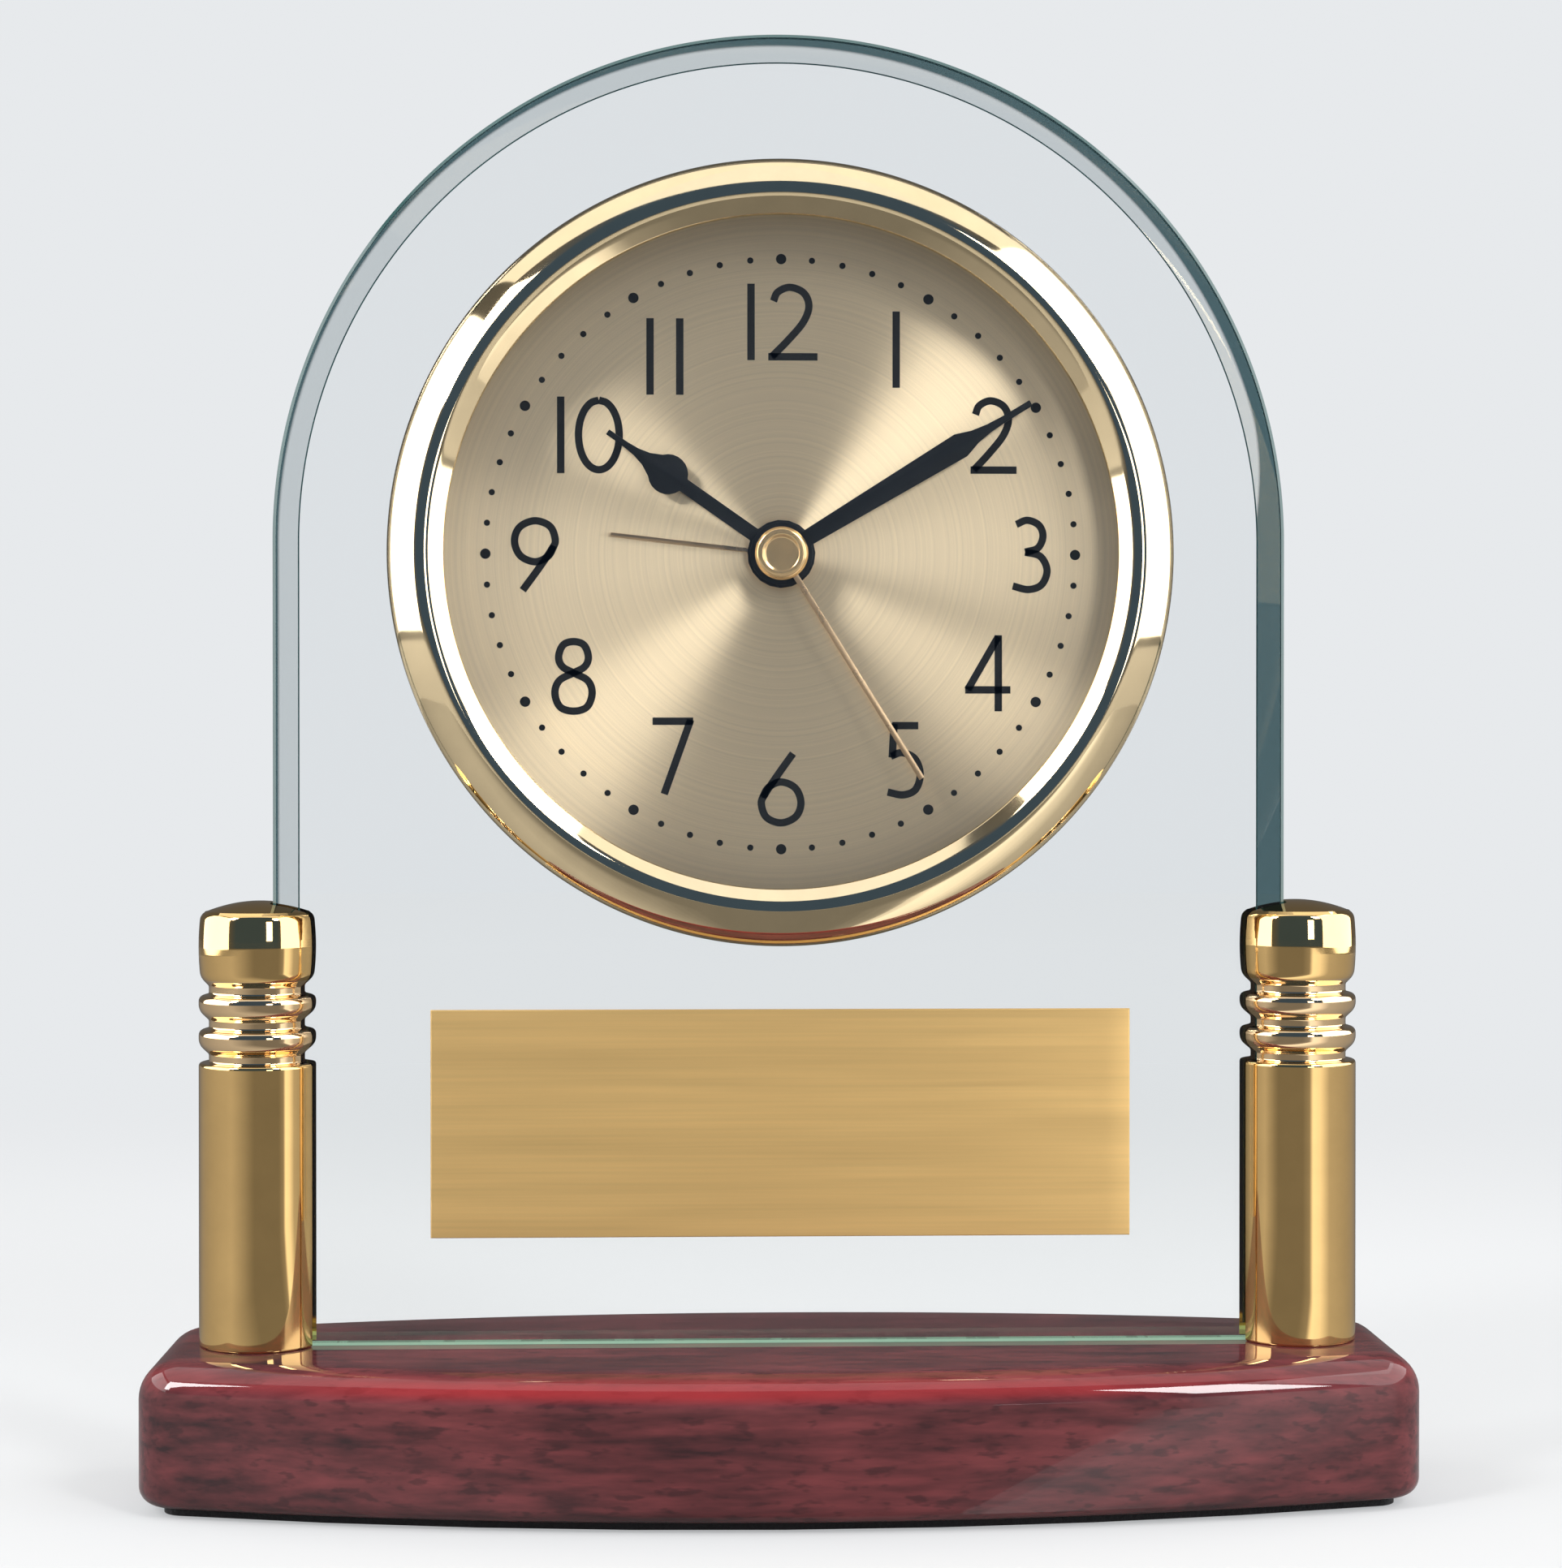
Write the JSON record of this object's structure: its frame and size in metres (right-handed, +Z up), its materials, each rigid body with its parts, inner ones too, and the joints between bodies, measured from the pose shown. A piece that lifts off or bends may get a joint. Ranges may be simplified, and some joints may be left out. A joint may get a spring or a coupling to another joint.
{
  "type": "desk clock",
  "caption": "Free-standing quartz alarm desk clock: a round gold clock in an arched clear glass plate, held by turned gold pillars on a bow-fronted lacquered base.",
  "frame": {"origin": "under the middle of the base, on the surface that the clock stands on", "axes": "+Z up, the dial faces -Y, +X to the right as the dial is read"},
  "size_m": [0.144, 0.045, 0.167],
  "materials": {
    "lacquer": "dark red-brown piano lacquer over wood, polished",
    "felt": "black felt",
    "gold": "polished gold plate",
    "glass": "clear float glass, polished edges",
    "crystal": "clear mineral crystal",
    "engraving_plate": "brushed gold sheet",
    "dial": "spun gold with black figures",
    "hand_black": "black satin paint",
    "hand_gold": "gold satin",
    "tape": "foam tape",
    "gasket": "black rubber",
    "case_black": "black moulded plastic, fine grain",
    "movement_white": "natural acetal",
    "screw_steel": "zinc-plated steel",
    "train_brass": "turned brass",
    "copper": "enamelled copper winding",
    "circuit": "green solder mask",
    "cell": "plain grey sleeve"
  },
  "bodies": {
    "stand": {"base": "lacquer", "base_felt": "felt", "left_pillar": "gold", "right_pillar": "gold", "left_pillar_washer": "screw_steel", "right_pillar_washer": "screw_steel", "left_pillar_screw": "screw_steel", "right_pillar_screw": "screw_steel", "glass_panel": "glass", "plate_tape": "tape", "name_plate": "engraving_plate", "case_cup": "case_black", "bezel_gasket": "gasket", "retaining_ring": "case_black", "bezel": "gold", "crystal": "crystal", "dial": "dial", "stator": "screw_steel", "coil": "copper", "front_plate": "movement_white", "rear_plate": "movement_white", "movement_screw_1": "screw_steel", "movement_screw_2": "screw_steel", "movement_screw_3": "screw_steel", "circuit_board": "circuit", "buzzer": "train_brass", "battery": "cell", "positive_contact": "screw_steel", "negative_contact": "screw_steel", "rear_cover": "case_black", "cover_screw_1": "screw_steel", "cover_screw_2": "screw_steel", "cover_screw_3": "screw_steel"},
    "second_hand": {"second_hand": "hand_gold", "second_hand_cap": "gold", "second_wheel": "train_brass"},
    "minute_hand": {"minute_hand": "hand_black", "centre_wheel": "train_brass"},
    "hour_hand": {"hour_hand": "hand_black", "hour_wheel": "movement_white"},
    "alarm_hand": {"alarm_hand": "hand_gold", "alarm_wheel": "movement_white"},
    "third_wheel": {"third_wheel": "movement_white"},
    "intermediate_wheel": {"intermediate_wheel": "movement_white"},
    "rotor": {"rotor": "screw_steel"},
    "minute_wheel": {"minute_wheel": "movement_white"},
    "time_setter": {"time_knob": "case_black", "time_stem": "train_brass"},
    "alarm_setter": {"alarm_knob": "case_black", "alarm_stem": "train_brass"},
    "alarm_switch": {"alarm_switch": "movement_white"},
    "battery_door": {"battery_door": "case_black"}
  },
  "joints": [
    {"name": "second_turn", "type": "hinge", "parent": "stand", "child": "second_hand", "pos_m": [0, 0, 0.1075], "axis": [0, 1, 0], "continuous": true},
    {"name": "minute_turn", "type": "hinge", "parent": "stand", "child": "minute_hand", "pos_m": [0, 0, 0.1075], "axis": [0, 1, 0], "continuous": true},
    {"name": "hour_turn", "type": "hinge", "parent": "stand", "child": "hour_hand", "pos_m": [0, 0, 0.1075], "axis": [0, 1, 0], "continuous": true},
    {"name": "third_wheel_turn", "type": "hinge", "parent": "stand", "child": "third_wheel", "pos_m": [0.00649, 0, 0.11399], "axis": [0, 1, 0], "continuous": true},
    {"name": "intermediate_wheel_turn", "type": "hinge", "parent": "stand", "child": "intermediate_wheel", "pos_m": [-0.00473, 0, 0.11568], "axis": [0, 1, 0], "continuous": true},
    {"name": "rotor_turn", "type": "hinge", "parent": "stand", "child": "rotor", "pos_m": [-0.00833, 0, 0.12192], "axis": [0, 1, 0], "continuous": true},
    {"name": "minute_wheel_turn", "type": "hinge", "parent": "stand", "child": "minute_wheel", "pos_m": [-0.009, 0, 0.1075], "axis": [0, 1, 0], "continuous": true},
    {"name": "time_knob_turn", "type": "hinge", "parent": "stand", "child": "time_setter", "pos_m": [-0.018, 0, 0.1075], "axis": [0, 1, 0], "continuous": true},
    {"name": "alarm_knob_turn", "type": "hinge", "parent": "stand", "child": "alarm_setter", "pos_m": [0.00866, 0, 0.1025], "axis": [0, 1, 0], "continuous": true},
    {"name": "alarm_hand_turn", "type": "hinge", "parent": "stand", "child": "alarm_hand", "pos_m": [0, 0, 0.1075], "axis": [0, 1, 0], "continuous": true},
    {"name": "alarm_switch_slide", "type": "slide", "parent": "stand", "child": "alarm_switch", "axis": [1, 0, 0], "range_m": [0, 0.003]},
    {"name": "battery_door_slide", "type": "slide", "parent": "stand", "child": "battery_door", "axis": [0, 0, -1], "range_m": [0, 0.013]}
  ],
  "couplings": [
    {"joint": "minute_turn", "follows": "second_turn", "ratio": 0.016667},
    {"joint": "hour_turn", "follows": "second_turn", "ratio": 0.0013889},
    {"joint": "third_wheel_turn", "follows": "second_turn", "ratio": -0.13333},
    {"joint": "intermediate_wheel_turn", "follows": "second_turn", "ratio": -6},
    {"joint": "rotor_turn", "follows": "second_turn", "ratio": 30},
    {"joint": "minute_wheel_turn", "follows": "second_turn", "ratio": -0.0055556},
    {"joint": "time_knob_turn", "follows": "second_turn", "ratio": 0.016667},
    {"joint": "alarm_hand_turn", "follows": "alarm_knob_turn", "ratio": -0.33333}
  ]
}
